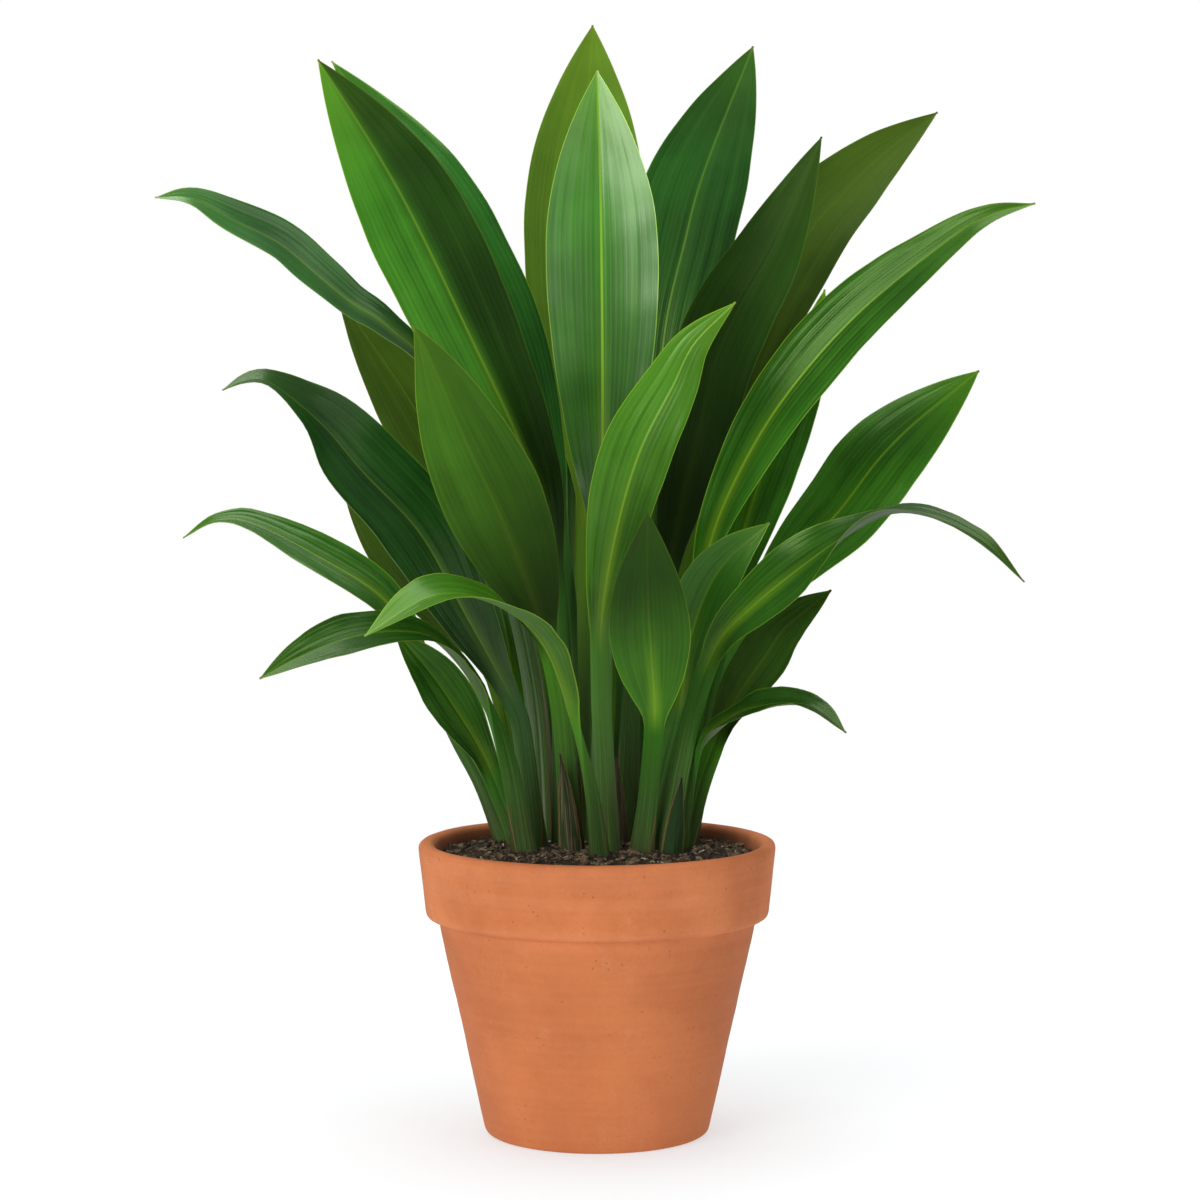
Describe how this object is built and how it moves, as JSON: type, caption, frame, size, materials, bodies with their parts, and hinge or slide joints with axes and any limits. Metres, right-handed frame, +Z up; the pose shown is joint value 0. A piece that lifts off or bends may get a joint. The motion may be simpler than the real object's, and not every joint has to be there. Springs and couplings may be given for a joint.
{
  "type": "potted cast iron plant",
  "caption": "Leafy houseplant with long, lance-shaped, arching leaves on upright stalks, growing from dark soil in a tapered clay pot with a thick rim band.",
  "frame": {"origin": "on the pot's axis at the bottom of its foot, which is the centre of the plant's bounding box at its base", "axes": "+Z up, along the pot's axis and the plant's longest extent; -Y towards the side most looked at; +X to that viewer's right"},
  "size_m": [0.4978, 0.3918, 0.6601],
  "materials": {
    "terracotta": "matte",
    "potting_soil": "matte",
    "deep_leaf": "satin",
    "mid_leaf": "satin",
    "bright_leaf": "satin",
    "yellow_leaf": "satin",
    "dry_sheath": "matte"
  },
  "bodies": {
    "root": {"pot": "terracotta", "soil": "potting_soil", "leaf_back_centre": "yellow_leaf", "leaf_front_centre": "mid_leaf", "leaf_back_right_tall": "deep_leaf", "leaf_left_tall": "mid_leaf", "leaf_left_tall_behind": "deep_leaf", "leaf_far_left": "deep_leaf", "leaf_far_left_behind": "yellow_leaf", "leaf_left_arching": "deep_leaf", "leaf_left_upright": "bright_leaf", "leaf_low_left_long": "mid_leaf", "leaf_low_left_drooping": "mid_leaf", "leaf_front_arching": "bright_leaf", "leaf_front_curved": "bright_leaf", "leaf_front_small": "mid_leaf", "leaf_right_upright": "mid_leaf", "leaf_right_behind": "yellow_leaf", "leaf_far_right_long": "mid_leaf", "leaf_right_inner": "mid_leaf", "leaf_low_right_broad": "mid_leaf", "leaf_low_right_arching": "mid_leaf", "leaf_right_small": "mid_leaf", "leaf_low_right_small": "bright_leaf", "leaf_low_right_drooping": "mid_leaf", "leaf_low_left_small": "mid_leaf", "leaf_low_left_behind": "yellow_leaf", "leaf_rear_left": "deep_leaf", "leaf_rear_right": "deep_leaf", "leaf_rear_tall_left": "mid_leaf", "leaf_rear_tall_right": "mid_leaf", "leaf_rear_low_left": "mid_leaf", "leaf_rear_low_centre": "bright_leaf", "leaf_rear_low_right": "mid_leaf", "sheath_left": "dry_sheath", "sheath_middle": "dry_sheath", "sheath_right": "dry_sheath"}
  },
  "joints": []
}
